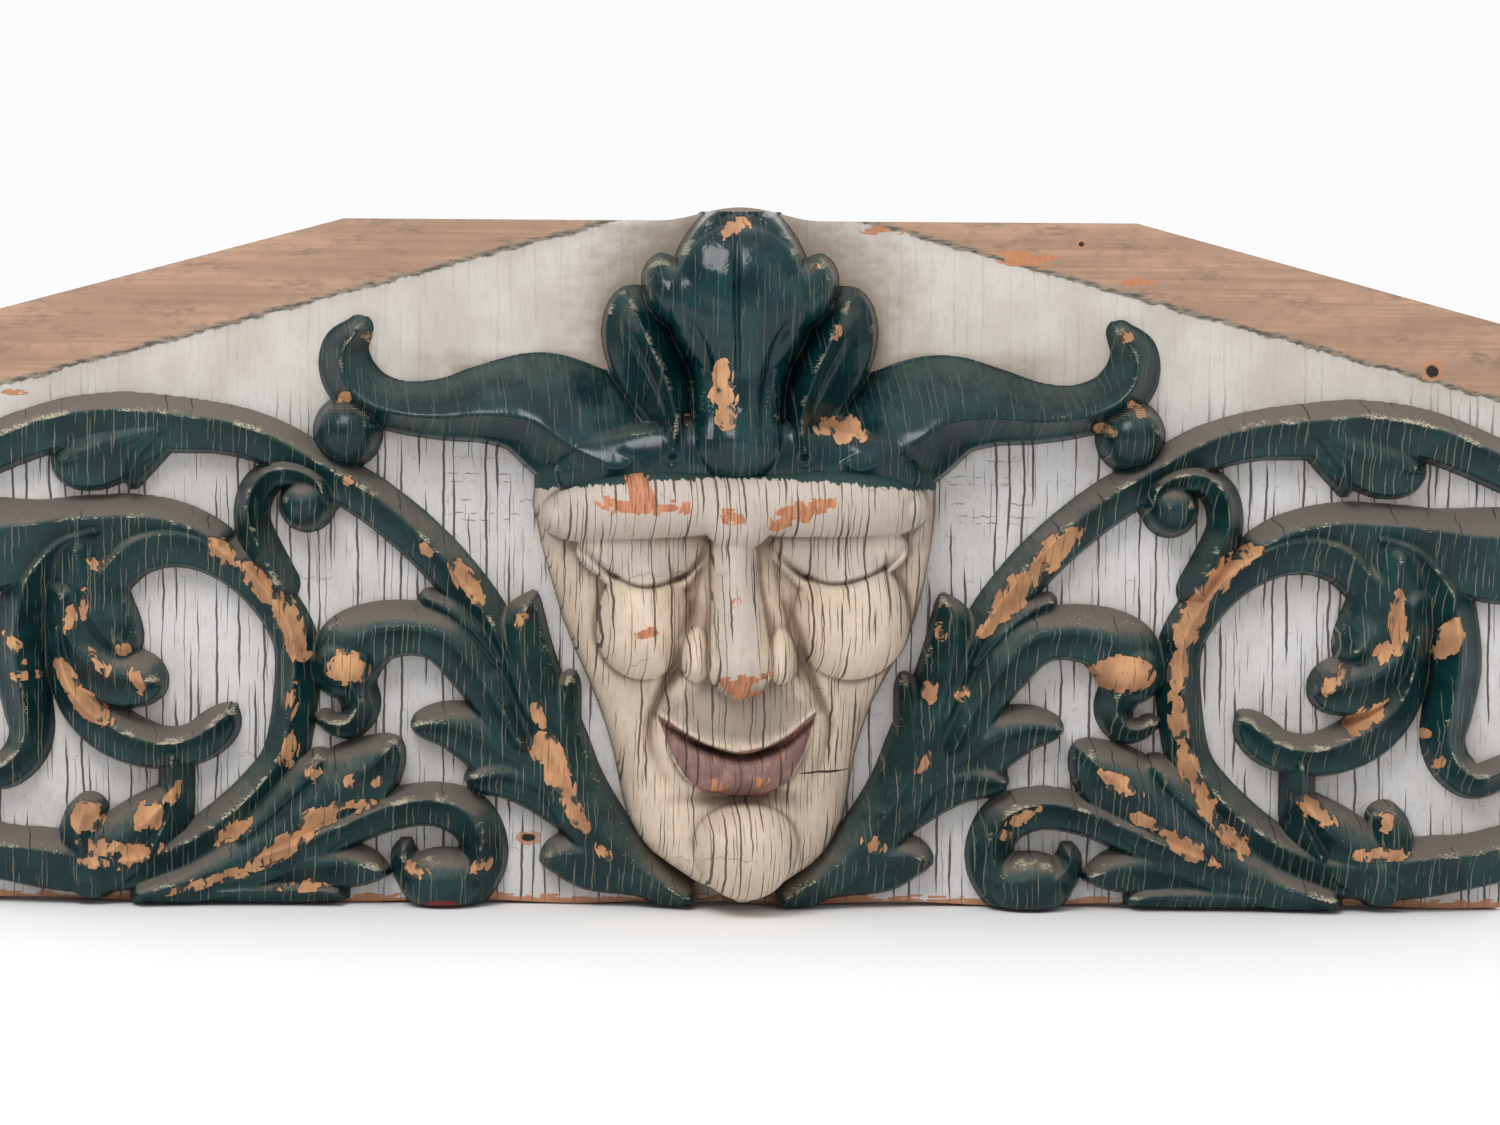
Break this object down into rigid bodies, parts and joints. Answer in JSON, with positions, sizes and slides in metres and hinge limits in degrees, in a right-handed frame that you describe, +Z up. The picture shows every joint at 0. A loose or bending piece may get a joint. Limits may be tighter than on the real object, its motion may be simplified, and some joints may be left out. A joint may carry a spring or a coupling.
{
  "type": "carved pine pediment panel",
  "caption": "Raked pediment board with leaf scrollwork either side of a capped mask in high relief, flat at the back for fixing to a frame.",
  "frame": {"origin": "on the flat back face, at mid length and mid height of the board", "axes": "+X along the panel's length, +Y out of the back towards the wall, +Z up; the carving faces -Y"},
  "size_m": [1.028, 0.1381, 0.4675],
  "materials": {
    "white_paint": "chalky off-white oil paint on pine, crazed all over",
    "green_paint": "dark blue-green oil paint, semi-gloss, worn and dusty on upper slopes",
    "flesh_paint": "cream oil paint with wide cracks along the grain",
    "bare_pine": "bare orange-brown pine, dry and grey in places"
  },
  "bodies": {
    "root": {"carved_panel": "white_paint"}
  },
  "joints": []
}
